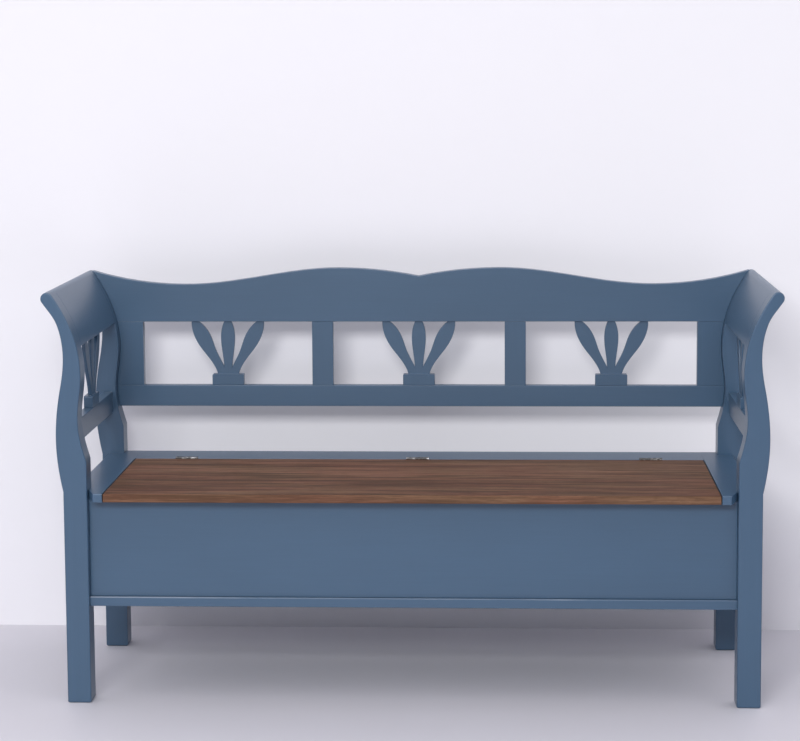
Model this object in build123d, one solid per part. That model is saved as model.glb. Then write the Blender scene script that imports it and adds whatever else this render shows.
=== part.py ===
from build123d import *
import os
from math import cos, radians, sin

# A painted storage bench: four legs that run up into S-curved arm ends, a back and arms with
# cut-out tulip splats, and a wooden seat that is the hinged lid of a closed box.
# Sizes are in millimetres. +Z is up, +X runs along the bench, and the bench faces -Y. The origin
# is on the floor, in the middle of the bench's length and depth.

# ---------------------------------------------------------------- driving dimensions

# Overall
ARM_SPAN = 1500.0  # over the tips of the two arms
LEG_SPAN = 1424.0  # over the outer faces of the legs
FRAME_DEPTH = 478.0  # front face of the front legs to rear face of the back legs
SEAT_HEIGHT = 445.0  # top of the seat above the floor
SEAT_OVERHANG = 26.0  # seat edge in front of the front legs

# Legs and their S-curve. Heights are above the seat, widths are beyond the straight leg's face.
POST_WIDTH = 49.0
POST_DEPTH = 48.0
OUTER_START_HEIGHT = -2.0
OUTER_START_LEAN = 0.22
OUTER_BELLY = (13.0, 108.0)
OUTER_WAIST = (-5.2, 275.0)
BELLY_TO_WAIST = (0.61, 0.629)  # shares of the way along X and Z, where the curve is steered
BELLY_TO_WAIST_STEEPNESS = 1.83  # of the curve there, against the straight way
WAIST_TO_TIP = (0.278, 0.597)
WAIST_TO_TIP_STEEPNESS = 1.03
WING_THICKNESS = 22.8  # between the outer and inner curves there
INNER_WING_STEEPNESS = 1.29  # of the inner curve, against the outer
INNER_START_HEIGHT = 61.0
INNER_START_LEAN = 0.30
INNER_BELLY = (16.2, 146.0)
INNER_WAIST = (8.2, 240.0)
TIP_RADIUS = 12.7
TIP_HEIGHT = 396.0  # centre of the rounded tip above the seat
FLARE_ANGLE = 56.0  # direction of the tip above the horizontal
POST_EDGE = 2.5  # rounding of the long edges
FOOT_EDGE = 3.0  # chamfer round the foot

# Back frame
BACK_FRAME_THICKNESS = 21.0
BACK_RAIL_CLEARANCE = 103.0  # seat to the underside of the lower rail
LOWER_RAIL_HEIGHT = 47.0
BACK_OPENING_HEIGHT = 144.0  # lower rail to crest rail
STILE_WIDTH = 47.0
MIDDLE_STILE_CENTRE = 215.3
END_STILE_INNER_FACE = 619.0
FRAME_EDGE = 1.2

# Crest rail outline: heights above its straight lower edge
CREST_NOTCH_HEIGHT = 102.0
CREST_NOTCH_SLOPE = 0.20
CREST_HUMP = (181.0, 120.3)
CREST_DIP = (520.0, 83.7)
CREST_END_INSET = 6.0  # from the centre of the post's tip
CREST_END_SLOPE = 0.30

# Arms
ARM_RAIL_CLEARANCE = 92.5  # seat to the underside of the arm's lower rail
ARM_RAIL_THICKNESS = 20.0
ARM_RAIL_INSET = 5.5  # outer face of the lower rail inside the leg's outer face
ARM_SPLAT_SHIFT = 1.5  # middle of the leaves from the rail's middle, towards the seat

# Tulip splats: half widths and heights above the base block's underside
SPLAT_THICKNESS = 8.0  # of the leaves and of the tongues that hold them
BLOCK_HALF_WIDTH = 35.5
BLOCK_HEIGHT = 25.0
BLOCK_CORNER = 3.0
BLOCK_SETBACK = 0.5  # the block's faces behind the rail's
LEAF_FOOT_HALF_WIDTH = 20.0
SIDE_LEAF_FOOT = 1.0  # inner end of a side leaf's foot
MIDDLE_LEAF = ((9.4, 0.17), (15.7, 0.66), (8.0, 1.0))  # half width, share of the leaf's height
SIDE_LEAF_OUTER = ((26.9, 0.08), (41.9, 0.29), (64.8, 0.545), (79.1, 0.81), (81.5, 1.0))
SIDE_LEAF_INNER = ((11.0, 0.17), (27.7, 0.46), (36.3, 0.67), (46.8, 0.84), (66.0, 1.0))
TONGUE = 8.0  # how far splats and stiles enter the rails

# Mortise and tenon joints
TENON_THICKNESS = 9.0
TENON_LENGTH = 20.0
TENON_SHOULDER = 7.0  # rail's edge to tenon's edge
FIT = 0.1  # gap between joined wooden faces

# Seat
SEAT_THICKNESS = 18.0
LID_LENGTH = 1251.0
LID_END_GAP = 2.0
LID_REAR_GAP = 1.0  # each side of the hinge axis
LID_DEPTH = 390.0
LID_EDGE = 1.5
LID_REST_GAP = 0.4
BACK_STRIP_DEPTH = 95.0
SIDE_STRIP_OUTER_INSET = 15.5  # strip's outer edge inside the leg's outer face
STRIP_CORNER = (17.0, 44.0)  # cut corner beside the leg
STRIP_EDGE = 2.0
BATTEN_WIDTH = 60.0
BATTEN_THICKNESS = 20.0
BATTEN_END_GAP = 16.0
BATTEN_SPACING = 480.0
BATTEN_EDGE = 4.0

# Box
BOARD_THICKNESS = 18.0
BOTTOM_THICKNESS = 20.0
BOTTOM_HEIGHT = 202.0  # underside above the floor
BOTTOM_FRONT_INSET = 12.0  # behind the front legs' front face
FRONT_PANEL_INSET = 20.0
BACK_PANEL_INSET = 20.0
SIDE_PANEL_INSET = 19.0
PANEL_TONGUE = 8.0
PANEL_TONGUE_THICKNESS = 6.0
BOTTOM_EDGE = 1.5
CLEAT = 20.0
BEARER_HEIGHT = 40.0
BEARER_THICKNESS = 20.0
SEAT_BEARER_WIDTH = 30.0
SEAT_BEARER_LAP = 15.0  # how far the bearer reaches under the lid

# Hinges
HINGE_LENGTH = 50.0
HINGE_SPACING = 511.0
HINGE_AXIS_HEIGHT = 1.0  # above the seat
KNUCKLE_RADIUS = 3.5
KNUCKLE_GAP = 0.2
MIDDLE_KNUCKLE = 21.0
PIN_RADIUS = 1.5
PIN_CLEARANCE = 0.05
PIN_EDGE = 0.3
LEAF_THICKNESS = 1.5
LEAF_PLAY = 0.3  # each leaf's face from the axis plane
LEAF_HEIGHT = 17.5
BARREL_CLEARANCE = 0.5

# Screws
SCREW_HEAD_RADIUS = 2.8
SCREW_RADIUS = 1.4
SCREW_HEAD_HEIGHT = LEAF_THICKNESS  # its countersink runs through the leaf
HINGE_SCREW_LENGTH = 16.0
HINGE_SCREW_OFFSET = 15.0
HINGE_SCREW_DROP = 11.0  # below the hinge axis
SCREW_CLEARANCE = 0.05

TOUCH = 0.001  # distance under which an edge counts as lying in a plane

# ---------------------------------------------------------------- derived places

FRONT_Y = SEAT_OVERHANG / 2 - FRAME_DEPTH / 2
REAR_Y = FRONT_Y + FRAME_DEPTH
SEAT_FRONT_Y = FRONT_Y - SEAT_OVERHANG
FRONT_POST_BACK_Y = FRONT_Y + POST_DEPTH
BACK_POST_FRONT_Y = REAR_Y - POST_DEPTH

LEG_OUTER_X = LEG_SPAN / 2
LEG_INNER_X = LEG_OUTER_X - POST_WIDTH
LEG_MID_X = LEG_OUTER_X - POST_WIDTH / 2

TIP_X = ARM_SPAN / 2 - TIP_RADIUS
TIP_Z = SEAT_HEIGHT + TIP_HEIGHT

LOWER_RAIL_Z = SEAT_HEIGHT + BACK_RAIL_CLEARANCE
BACK_OPENING_Z = LOWER_RAIL_Z + LOWER_RAIL_HEIGHT
CREST_Z = BACK_OPENING_Z + BACK_OPENING_HEIGHT
ARM_RAIL_Z = SEAT_HEIGHT + ARM_RAIL_CLEARANCE
ARM_OPENING_Z = ARM_RAIL_Z + LOWER_RAIL_HEIGHT
ARM_OPENING_HEIGHT = CREST_Z - ARM_OPENING_Z

BACK_FRAME_FRONT_Y = REAR_Y - BACK_FRAME_THICKNESS
BACK_FRAME_MID_Y = REAR_Y - BACK_FRAME_THICKNESS / 2
ARM_RAIL_OUTER_X = LEG_OUTER_X - ARM_RAIL_INSET
ARM_RAIL_INNER_X = ARM_RAIL_OUTER_X - ARM_RAIL_THICKNESS
ARM_MID_X = ARM_RAIL_OUTER_X - ARM_RAIL_THICKNESS / 2
ARM_SPLAT_X = ARM_MID_X - ARM_SPLAT_SHIFT
ARM_MID_Y = (FRONT_POST_BACK_Y + BACK_POST_FRONT_Y) / 2

SEAT_UNDERSIDE_Z = SEAT_HEIGHT - SEAT_THICKNESS
HINGE_Y = SEAT_FRONT_Y + LID_DEPTH + LID_REAR_GAP
HINGE_Z = SEAT_HEIGHT + HINGE_AXIS_HEIGHT
HINGE_CENTRES = {"left": -HINGE_SPACING, "centre": 0.0, "right": HINGE_SPACING}
STRIP_FRONT_Y = HINGE_Y + LID_REAR_GAP
STRIP_REAR_Y = STRIP_FRONT_Y + BACK_STRIP_DEPTH
STRIP_INNER_X = LID_LENGTH / 2 + LID_END_GAP
STRIP_OUTER_X = LEG_OUTER_X - SIDE_STRIP_OUTER_INSET

BOTTOM_TOP_Z = BOTTOM_HEIGHT + BOTTOM_THICKNESS
FRONT_PANEL_Y = FRONT_Y + FRONT_PANEL_INSET
FRONT_PANEL_BACK_Y = FRONT_PANEL_Y + BOARD_THICKNESS
BACK_PANEL_REAR_Y = REAR_Y - BACK_PANEL_INSET
BACK_PANEL_Y = BACK_PANEL_REAR_Y - BOARD_THICKNESS
SIDE_PANEL_OUTER_X = LEG_OUTER_X - SIDE_PANEL_INSET
SIDE_PANEL_X = SIDE_PANEL_OUTER_X - BOARD_THICKNESS
BEARER_Z = SEAT_UNDERSIDE_Z - BEARER_HEIGHT
BEARER_BACK_Y = STRIP_FRONT_Y + BEARER_THICKNESS
SEAT_BEARER_X = LID_LENGTH / 2 - SEAT_BEARER_LAP
SEAT_BEARER_Z = SEAT_UNDERSIDE_Z - BEARER_THICKNESS


# ---------------------------------------------------------------- helpers


def block(x, y, z):
    """Box between two corners, given as (low, high) along each axis."""
    size = [high - low for low, high in (x, y, z)]
    centre = [(high + low) / 2 for low, high in (x, y, z)]
    return Pos(*centre) * Box(*size)


def extrude_along_y(face, front, back):
    """Solid from an outline of X and Z, between the planes Y = front and Y = back."""
    plane = Plane(origin=(0, back, 0), x_dir=(1, 0, 0), z_dir=(0, -1, 0))
    return extrude(plane * face, back - front)


def extrude_along_x(face, low, high):
    """Solid from an outline of Y and Z, between the planes X = low and X = high."""
    plane = Plane(origin=(low, 0, 0), x_dir=(0, 1, 0), z_dir=(1, 0, 0))
    return extrude(plane * face, high - low)


def extrude_along_z(face, low, high):
    """Solid from an outline of X and Y, between the heights low and high."""
    return extrude(Pos(0, 0, low) * face, high - low)


def left_of(shape):
    """The piece's mirror image on the bench's left half."""
    return mirror(shape, about=Plane.YZ)


def edges_in_plane(shape, axis, value):
    """Edges that lie wholly in the plane where the axis has that value."""
    found = []
    for edge in shape.edges():
        box = edge.bounding_box()
        reach = (tuple(box.min)[axis], tuple(box.max)[axis])
        if max(abs(end - value) for end in reach) < TOUCH:
            found.append(edge)
    return found


def screw(length):
    """Countersunk screw with its head's face at the origin, pointing along -Z."""
    half = [
        (0, 0),
        (SCREW_HEAD_RADIUS, 0),
        (SCREW_RADIUS, -SCREW_HEAD_HEIGHT),
        (SCREW_RADIUS, -length),
        (0, -length),
    ]
    return revolve(make_face(Plane.XZ * Polyline(*half, close=True)), Axis.Z)


def screw_group(places, length):
    return Compound(children=[place * screw(length) for place in places])


def drilled(piece, places, length):
    """The piece with a pilot hole and countersink for the screw at each place."""
    reach = length + SCREW_CLEARANCE
    head = SCREW_HEAD_RADIUS + SCREW_CLEARANCE
    shank = SCREW_RADIUS + SCREW_CLEARANCE
    cone = Pos(0, 0, -SCREW_HEAD_HEIGHT / 2) * Cone(shank, head, SCREW_HEAD_HEIGHT)
    hole = cone + Pos(0, 0, -reach / 2) * Cylinder(shank, reach)
    for place in places:
        piece -= place * hole
    return piece


# ---------------------------------------------------------------- posts


def steered(start, end, share, steepness):
    """Point part of the way between two others, and the curve's direction there."""
    way = end - start
    point = start + Vector(share[0] * way.X, share[1] * way.Y)
    return point, (steepness * way.X, way.Y)


def post_outline():
    """Outline of the right-hand posts in X and Z: a straight leg, then the S-curve to the tip."""
    flare = radians(FLARE_ANGLE)
    along = (cos(flare), sin(flare))
    tip = Vector(TIP_X, TIP_Z)
    outer_end = tip + TIP_RADIUS * Vector(along[1], -along[0])
    inner_end = tip - TIP_RADIUS * Vector(along[1], -along[0])
    outer_start = (LEG_OUTER_X, SEAT_HEIGHT + OUTER_START_HEIGHT)
    inner_start = (LEG_INNER_X, SEAT_HEIGHT + INNER_START_HEIGHT)
    belly = Vector(LEG_OUTER_X + OUTER_BELLY[0], SEAT_HEIGHT + OUTER_BELLY[1])
    waist = Vector(LEG_OUTER_X + OUTER_WAIST[0], SEAT_HEIGHT + OUTER_WAIST[1])
    neck, neck_way = steered(belly, waist, BELLY_TO_WAIST, BELLY_TO_WAIST_STEEPNESS)
    wing, wing_way = steered(waist, outer_end, WAIST_TO_TIP, WAIST_TO_TIP_STEEPNESS)
    ways = [(OUTER_START_LEAN, 1), (0, 1), neck_way, (0, 1), wing_way, along]
    outer = Spline(outer_start, belly, neck, waist, wing, outer_end, tangents=ways)
    inner_belly = (LEG_INNER_X + INNER_BELLY[0], SEAT_HEIGHT + INNER_BELLY[1])
    inner_waist = (LEG_INNER_X + INNER_WAIST[0], SEAT_HEIGHT + INNER_WAIST[1])
    inner_way = Vector(INNER_WING_STEEPNESS * wing_way[0], wing_way[1])
    inner_wing = wing + WING_THICKNESS * Vector(-inner_way.Y, inner_way.X).normalized()
    ways = [(INNER_START_LEAN, 1), (0, 1), (0, 1), inner_way, along]
    inner = Spline(inner_start, inner_belly, inner_waist, inner_wing, inner_end, tangents=ways)
    leg = [
        Line(inner_start, (LEG_INNER_X, 0)),
        Line((LEG_INNER_X, 0), (LEG_OUTER_X, 0)),
        Line((LEG_OUTER_X, 0), outer_start),
    ]
    cap = ThreePointArc(outer_end, tip + TIP_RADIUS * Vector(*along), inner_end)
    return make_face([*leg, outer, cap, inner])


POST = post_outline()


def post_middle(height):
    """X of the middle of the right-hand post's width at a height."""
    level = Pos(ARM_SPAN / 2, height) * Rectangle(ARM_SPAN, TOUCH)
    width = (POST & level).bounding_box()
    return (width.min.X + width.max.X) / 2


def rounded_post(front, back, shown_face):
    """Right-hand post with its foot chamfered and the outline's edges rounded on one face."""
    post = extrude_along_y(POST, front, back)
    post = chamfer(post.faces().sort_by(Axis.Z)[0].edges(), FOOT_EDGE)
    outline_edges = [
        edge
        for edge in edges_in_plane(post, 1, shown_face)
        if edge.bounding_box().max.Z > 2 * FOOT_EDGE
    ]
    return fillet(outline_edges, POST_EDGE)


def between_posts(rail):
    """The stretch of a rail between the two posts, shaped to their inner curves."""
    cutter = Pos(-FIT, 0, 0) * extrude_along_y(POST, FRONT_Y, REAR_Y)
    return (rail - cutter - left_of(cutter)).solids().sort_by(SortBy.VOLUME)[-1]


# ---------------------------------------------------------------- tenons


def back_rail_tenon(bottom, grow=0.0):
    """Tenon of the crest rail or the back's lower rail in the right-hand back post."""
    low = bottom + TENON_SHOULDER
    reach = LEG_INNER_X + INNER_BELLY[0] + TENON_LENGTH
    middle = BACK_FRAME_MID_Y
    half = TENON_THICKNESS / 2 + grow
    height = LOWER_RAIL_HEIGHT - 2 * TENON_SHOULDER
    return block(
        (END_STILE_INNER_FACE, reach + grow),
        (middle - half, middle + half),
        (low - grow, low + height + grow),
    )


TOP_RAIL_TENON = (post_middle(CREST_Z + LOWER_RAIL_HEIGHT / 2), CREST_Z)
LOWER_RAIL_TENON = (ARM_MID_X, ARM_RAIL_Z)


def arm_rail_tenon(place, post_face, way, grow=0.0):
    """Tenon of an arm rail at a post's face; way is -1 into the front post, 1 into the back."""
    middle, rail_bottom = place
    low = rail_bottom + TENON_SHOULDER
    half = TENON_THICKNESS / 2 + grow
    height = LOWER_RAIL_HEIGHT - 2 * TENON_SHOULDER
    ends = sorted((post_face - way * TENON_SHOULDER, post_face + way * (TENON_LENGTH + grow)))
    return block((middle - half, middle + half), ends, (low - grow, low + height + grow))


def panel_tongue_x(panel_y, grow=0.0):
    """Tongue of the front or back panel in the right-hand post."""
    middle = panel_y + BOARD_THICKNESS / 2
    half = PANEL_TONGUE_THICKNESS / 2 + grow
    return block(
        (LEG_INNER_X - BOARD_THICKNESS, LEG_INNER_X + PANEL_TONGUE + grow),
        (middle - half, middle + half),
        (BOTTOM_TOP_Z + FIT - grow, SEAT_UNDERSIDE_Z - BOARD_THICKNESS + grow),
    )


def side_panel_tongue(post_face, way, grow=0.0):
    """Tongue of the right-hand side panel in a post."""
    middle = SIDE_PANEL_X + BOARD_THICKNESS / 2
    half = PANEL_TONGUE_THICKNESS / 2 + grow
    ends = sorted((post_face - way * BOARD_THICKNESS, post_face + way * (PANEL_TONGUE + grow)))
    return block(
        (middle - half, middle + half),
        ends,
        (BOTTOM_TOP_Z - grow, SEAT_UNDERSIDE_Z - BOARD_THICKNESS + grow),
    )


def front_post():
    post = rounded_post(FRONT_Y, FRONT_POST_BACK_Y, FRONT_Y)
    post -= arm_rail_tenon(TOP_RAIL_TENON, FRONT_POST_BACK_Y, -1, FIT)
    post -= arm_rail_tenon(LOWER_RAIL_TENON, FRONT_POST_BACK_Y, -1, FIT)
    post -= panel_tongue_x(FRONT_PANEL_Y, FIT)
    post -= side_panel_tongue(FRONT_POST_BACK_Y, -1, FIT)
    return post


def back_post():
    post = rounded_post(BACK_POST_FRONT_Y, REAR_Y, REAR_Y)
    post -= back_rail_tenon(CREST_Z, FIT)
    post -= back_rail_tenon(LOWER_RAIL_Z, FIT)
    post -= arm_rail_tenon(TOP_RAIL_TENON, BACK_POST_FRONT_Y, 1, FIT)
    post -= arm_rail_tenon(LOWER_RAIL_TENON, BACK_POST_FRONT_Y, 1, FIT)
    post -= panel_tongue_x(BACK_PANEL_Y, FIT)
    post -= side_panel_tongue(BACK_POST_FRONT_Y, 1, FIT)
    return post


# ---------------------------------------------------------------- tulip splats


def leaf_points(profile, leaf_height, side):
    """Points of one leaf's edge, from the block upwards, on the given side of the middle."""
    return [(side * width, BLOCK_HEIGHT + share * leaf_height) for width, share in profile]


def leaf(foot_low, foot_high, low_edge, high_edge, top):
    """Closed leaf between two edge curves, on its foot and run up into the rail above."""
    low_curve = Spline(foot_low, *low_edge)
    high_curve = Spline(foot_high, *high_edge)
    low_top = (low_edge[-1][0], top)
    high_top = (high_edge[-1][0], top)
    return make_face(
        [
            Line(foot_low, foot_high),
            high_curve,
            Line(high_edge[-1], high_top),
            Line(high_top, low_top),
            Line(low_top, low_edge[-1]),
            low_curve,
        ]
    )


def base_block(bottom):
    """Outline of the tulip's base block from a height upwards, with rounded upper corners."""
    size = (2 * BLOCK_HALF_WIDTH, BLOCK_HEIGHT - bottom)
    outline = Pos(0, (BLOCK_HEIGHT + bottom) / 2) * Rectangle(*size)
    return fillet(outline.vertices().group_by(Axis.Y)[-1], BLOCK_CORNER)


def tulip_outline(opening_height):
    """Cut-out tulip for an opening of that height, with tongues above and below it."""
    leaf_height = opening_height - BLOCK_HEIGHT
    top = opening_height + TONGUE
    foot_z = BLOCK_HEIGHT - BLOCK_CORNER
    middle = leaf(
        (-LEAF_FOOT_HALF_WIDTH / 2, foot_z),
        (LEAF_FOOT_HALF_WIDTH / 2, foot_z),
        leaf_points(MIDDLE_LEAF, leaf_height, -1),
        leaf_points(MIDDLE_LEAF, leaf_height, 1),
        top,
    )
    side = leaf(
        (SIDE_LEAF_FOOT, foot_z),
        (LEAF_FOOT_HALF_WIDTH + BLOCK_CORNER, foot_z),
        leaf_points(SIDE_LEAF_INNER, leaf_height, 1),
        leaf_points(SIDE_LEAF_OUTER, leaf_height, 1),
        top,
    )
    return base_block(-TONGUE) + middle + side + mirror(side, about=Plane.YZ)


def splat_grooves(opening_height):
    """Outlines of the grooves that the tulip's tongues enter, below and above the opening."""
    width = 2 * (SIDE_LEAF_OUTER[-1][0] + FIT)
    depth = TONGUE + FIT
    lower = Pos(0, -depth / 2) * Rectangle(2 * (BLOCK_HALF_WIDTH + FIT), depth)
    upper = Pos(0, opening_height + depth / 2) * Rectangle(width, depth)
    return lower + upper


BACK_SPLAT_CENTRES = {
    "left": -(MIDDLE_STILE_CENTRE + STILE_WIDTH / 2 + END_STILE_INNER_FACE) / 2,
    "centre": 0.0,
    "right": (MIDDLE_STILE_CENTRE + STILE_WIDTH / 2 + END_STILE_INNER_FACE) / 2,
}


def back_splat(centre):
    """Tulip with thin leaves and tongues on a base block almost as thick as the rail."""
    place = Pos(centre, BACK_OPENING_Z)
    tulip = place * tulip_outline(BACK_OPENING_HEIGHT)
    half = SPLAT_THICKNESS / 2
    splat = extrude_along_y(tulip, BACK_FRAME_MID_Y - half, BACK_FRAME_MID_Y + half)
    front, back = BACK_FRAME_FRONT_Y + BLOCK_SETBACK, REAR_Y - BLOCK_SETBACK
    return splat + extrude_along_y(place * base_block(FIT), front, back)


def arm_splat():
    place = Pos(ARM_MID_Y, ARM_OPENING_Z)
    tulip = place * tulip_outline(ARM_OPENING_HEIGHT)
    half = SPLAT_THICKNESS / 2
    splat = extrude_along_x(tulip, ARM_SPLAT_X - half, ARM_SPLAT_X + half)
    low, high = ARM_RAIL_INNER_X + BLOCK_SETBACK, ARM_RAIL_OUTER_X - BLOCK_SETBACK
    return splat + extrude_along_x(place * base_block(FIT), low, high)


def back_grooves():
    """Grooves of the back's splats and stiles in the two rails."""
    half = SPLAT_THICKNESS / 2 + FIT
    outline = Pos(0, BACK_OPENING_Z) * splat_grooves(BACK_OPENING_HEIGHT)
    front, back = BACK_FRAME_MID_Y - half, BACK_FRAME_MID_Y + half
    cut = [
        Pos(centre, 0, 0) * extrude_along_y(outline, front, back)
        for centre in BACK_SPLAT_CENTRES.values()
    ]
    stiles = [back_stile_tongues(centre, FIT) for centre in (-1, 1)]
    ends = [end_stile_tongues(FIT), left_of(end_stile_tongues(FIT))]
    return Compound(children=[*cut, *stiles, *ends])


# ---------------------------------------------------------------- back frame


def stile_tongues(x_low, x_high, grow):
    """One block whose ends are a stile's tongues in the rails above and below it."""
    half = SPLAT_THICKNESS / 2 + grow
    return block(
        (x_low - grow, x_high + grow),
        (BACK_FRAME_MID_Y - half, BACK_FRAME_MID_Y + half),
        (BACK_OPENING_Z - TONGUE - grow, CREST_Z + TONGUE + grow),
    )


def back_stile_tongues(side, grow=0.0):
    half = STILE_WIDTH / 2 - TENON_SHOULDER
    centre = side * MIDDLE_STILE_CENTRE
    return stile_tongues(centre - half, centre + half, grow)


def end_stile_tongues(grow=0.0):
    low = END_STILE_INNER_FACE + TENON_SHOULDER
    return stile_tongues(low, LEG_INNER_X - TENON_SHOULDER, grow)


def middle_stile(side):
    centre = side * MIDDLE_STILE_CENTRE
    half = STILE_WIDTH / 2
    body = block(
        (centre - half, centre + half),
        (BACK_FRAME_FRONT_Y, REAR_Y),
        (BACK_OPENING_Z + FIT, CREST_Z - FIT),
    )
    body = fillet(body.edges().filter_by(Axis.Z), FRAME_EDGE)
    return body + back_stile_tongues(side)


def end_stile():
    body = block(
        (END_STILE_INNER_FACE, LEG_MID_X),
        (BACK_FRAME_FRONT_Y, REAR_Y),
        (BACK_OPENING_Z + FIT, CREST_Z - FIT),
    )
    inner_edges = body.edges().filter_by(Axis.Z).group_by(Axis.X)[0]
    return between_posts(fillet(inner_edges, FRAME_EDGE)) + end_stile_tongues()


def crest_outline():
    """Two humps that meet in a notch, falling to a dip and rising again to the arm tips."""
    end_x = TIP_X - CREST_END_INSET
    points = [
        (0, CREST_Z + CREST_NOTCH_HEIGHT),
        (CREST_HUMP[0], CREST_Z + CREST_HUMP[1]),
        (CREST_DIP[0], CREST_Z + CREST_DIP[1]),
        (end_x, TIP_Z + TIP_RADIUS),
    ]
    slopes = [(1, CREST_NOTCH_SLOPE), (1, 0), (1, 0), (1, CREST_END_SLOPE)]
    top = Spline(*points, tangents=slopes)
    sides = Polyline(points[0], (0, CREST_Z), (end_x, CREST_Z), points[-1])
    half = make_face([top, *sides.edges()])
    return half + mirror(half, about=Plane.YZ)


def crest_rail():
    rail = extrude_along_y(crest_outline(), BACK_FRAME_FRONT_Y, REAR_Y)
    rail = between_posts(fillet(rail.edges().filter_by(GeomType.BSPLINE), FRAME_EDGE))
    tenon = back_rail_tenon(CREST_Z)
    return rail + tenon + left_of(tenon) - back_grooves()


def back_lower_rail():
    rail = block(
        (-ARM_SPAN / 2, ARM_SPAN / 2),
        (BACK_FRAME_FRONT_Y, REAR_Y),
        (LOWER_RAIL_Z, BACK_OPENING_Z),
    )
    rail = fillet(rail.edges().filter_by(Axis.X).group_by(Axis.Y)[0], FRAME_EDGE)
    tenon = back_rail_tenon(LOWER_RAIL_Z)
    return between_posts(rail) + tenon + left_of(tenon) - back_grooves()


# ---------------------------------------------------------------- arms


def arm_groove():
    """Grooves of the arm's splat in the two arm rails."""
    half = SPLAT_THICKNESS / 2 + FIT
    outline = Pos(ARM_MID_Y, ARM_OPENING_Z) * splat_grooves(ARM_OPENING_HEIGHT)
    return extrude_along_x(outline, ARM_SPLAT_X - half, ARM_SPLAT_X + half)


def arm_tenons(place):
    front = arm_rail_tenon(place, FRONT_POST_BACK_Y, -1)
    return front + arm_rail_tenon(place, BACK_POST_FRONT_Y, 1)


def arm_top_rail():
    """Curved board on the posts' outline, from its straight lower edge to the rolled tip."""
    above = Pos(ARM_SPAN / 2, CREST_Z + TIP_HEIGHT / 2) * Rectangle(ARM_SPAN, TIP_HEIGHT)
    ends = (FRONT_POST_BACK_Y + FIT, BACK_POST_FRONT_Y - FIT)
    rail = extrude_along_y(POST & above, *ends)
    return rail + arm_tenons(TOP_RAIL_TENON) - arm_groove()


def arm_lower_rail():
    rail = block(
        (ARM_RAIL_INNER_X, ARM_RAIL_OUTER_X),
        (FRONT_POST_BACK_Y + FIT, BACK_POST_FRONT_Y - FIT),
        (ARM_RAIL_Z, ARM_OPENING_Z),
    )
    rail = fillet(rail.edges().filter_by(Axis.Y), FRAME_EDGE)
    return rail + arm_tenons(LOWER_RAIL_TENON) - arm_groove()


# ---------------------------------------------------------------- box


def front_panel():
    panel = block(
        (-LEG_INNER_X + FIT, LEG_INNER_X - FIT),
        (FRONT_PANEL_Y, FRONT_PANEL_BACK_Y),
        (BOTTOM_TOP_Z + FIT, SEAT_UNDERSIDE_Z),
    )
    tongue = panel_tongue_x(FRONT_PANEL_Y)
    return panel + tongue + left_of(tongue)


def back_panel():
    panel = block(
        (-LEG_INNER_X + FIT, LEG_INNER_X - FIT),
        (BACK_PANEL_Y, BACK_PANEL_REAR_Y),
        (BOTTOM_TOP_Z + FIT, SEAT_UNDERSIDE_Z),
    )
    tongue = panel_tongue_x(BACK_PANEL_Y)
    return panel + tongue + left_of(tongue)


def side_panel():
    panel = block(
        (SIDE_PANEL_X, SIDE_PANEL_OUTER_X),
        (FRONT_POST_BACK_Y + FIT, BACK_POST_FRONT_Y - FIT),
        (BOTTOM_HEIGHT, SEAT_UNDERSIDE_Z),
    )
    panel += side_panel_tongue(FRONT_POST_BACK_Y, -1)
    panel += side_panel_tongue(BACK_POST_FRONT_Y, 1)
    return panel


def bottom_board():
    """Board between the legs that widens to the side panels behind them."""
    front = FRONT_Y + BOTTOM_FRONT_INSET
    between_legs = block(
        (-LEG_INNER_X + FIT, LEG_INNER_X - FIT),
        (front, BACK_PANEL_REAR_Y),
        (BOTTOM_HEIGHT, BOTTOM_TOP_Z),
    )
    front_edges = between_legs.edges().filter_by(Axis.X).group_by(Axis.Y)[0]
    widening = block(
        (-SIDE_PANEL_X + FIT, SIDE_PANEL_X - FIT),
        (FRONT_POST_BACK_Y + FIT, BACK_POST_FRONT_Y - FIT),
        (BOTTOM_HEIGHT, BOTTOM_TOP_Z),
    )
    return fillet(front_edges, BOTTOM_EDGE) + widening


def cleat(x, y):
    """Bar glued into a corner of the box, over the bottom board."""
    return block(x, y, (BOTTOM_TOP_Z + FIT, BOTTOM_TOP_Z + CLEAT))


def long_cleat(y_low):
    return cleat((-LEG_INNER_X + CLEAT, LEG_INNER_X - CLEAT), (y_low, y_low + CLEAT))


def side_cleat():
    face = SIDE_PANEL_X - FIT
    ends = (FRONT_POST_BACK_Y + CLEAT, BACK_POST_FRONT_Y - CLEAT)
    return cleat((face - CLEAT, face), ends)


def hinge_bearer():
    """Rail on edge under the back strip, from one side panel to the other."""
    return block(
        (-SIDE_PANEL_X + FIT, SIDE_PANEL_X - FIT),
        (STRIP_FRONT_Y, BEARER_BACK_Y),
        (BEARER_Z, SEAT_UNDERSIDE_Z - FIT),
    )


def seat_bearer():
    """Rail under the side strip and the lid's end, from the front panel to the hinge bearer."""
    return block(
        (SEAT_BEARER_X, SEAT_BEARER_X + SEAT_BEARER_WIDTH),
        (FRONT_PANEL_BACK_Y + FIT, STRIP_FRONT_Y - FIT),
        (SEAT_BEARER_Z, SEAT_UNDERSIDE_Z - FIT),
    )


# ---------------------------------------------------------------- seat


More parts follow.
